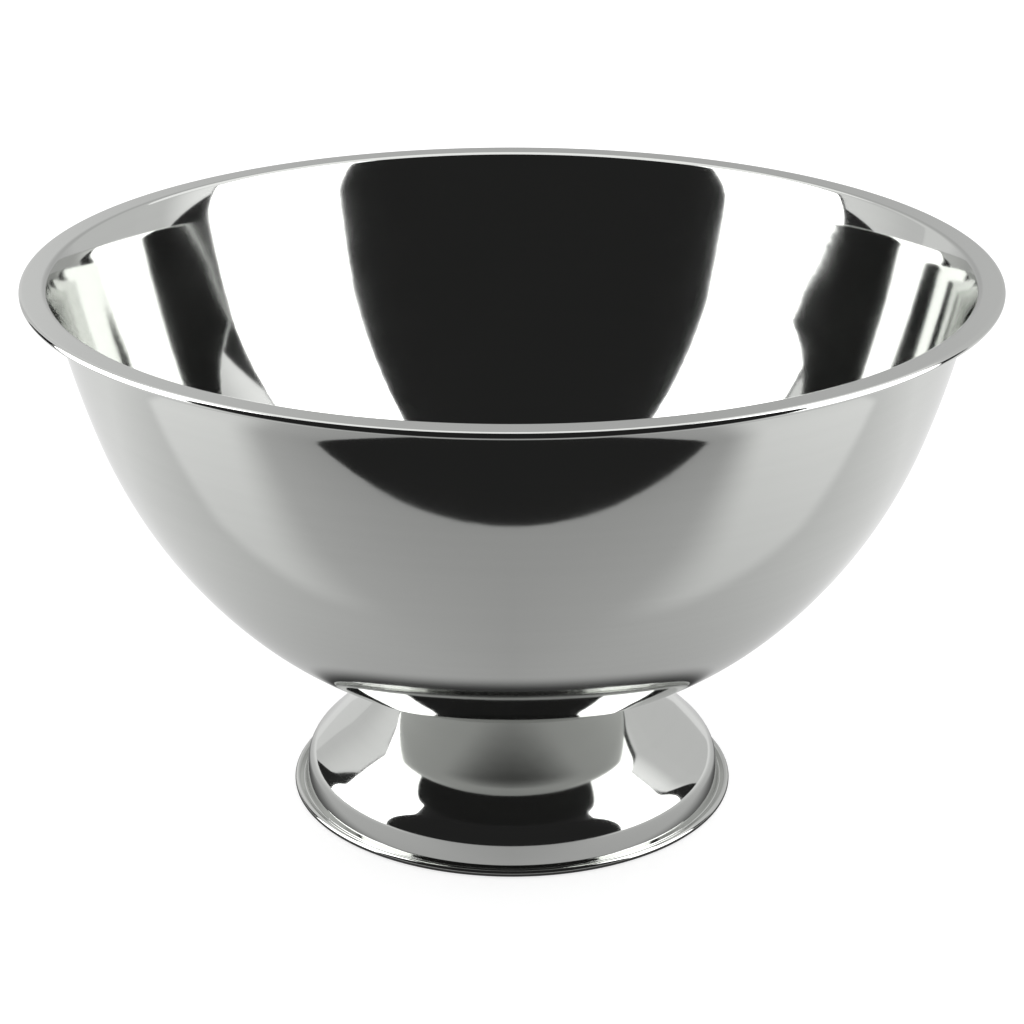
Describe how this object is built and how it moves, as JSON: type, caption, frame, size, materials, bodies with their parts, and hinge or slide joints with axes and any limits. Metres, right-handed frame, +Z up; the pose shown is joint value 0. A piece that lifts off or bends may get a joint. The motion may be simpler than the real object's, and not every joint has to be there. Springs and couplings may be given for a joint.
{
  "type": "punch bowl",
  "caption": "Wide open punch bowl of mirror-polished stainless sheet with a flared lip and flat rim, standing on a fixed hollow pedestal foot.",
  "frame": {"origin": "on the floor, at the centre of the foot", "axes": "+Z up along the bowl's axis of revolution; the part is round, so X and Y are any two level directions, with a spot weld on +X"},
  "size_m": [0.4, 0.3998, 0.2315],
  "materials": {
    "bowl_steel": "mirror-polished stainless steel, faint concentric polishing marks",
    "foot_steel": "mirror-polished stainless steel outside, dull as-spun inside",
    "weld_steel": "fused stainless steel, heat-tinted"
  },
  "bodies": {
    "root": {"bowl_shell": "bowl_steel", "foot_shell": "foot_steel", "spot_welds": "weld_steel"}
  },
  "joints": []
}
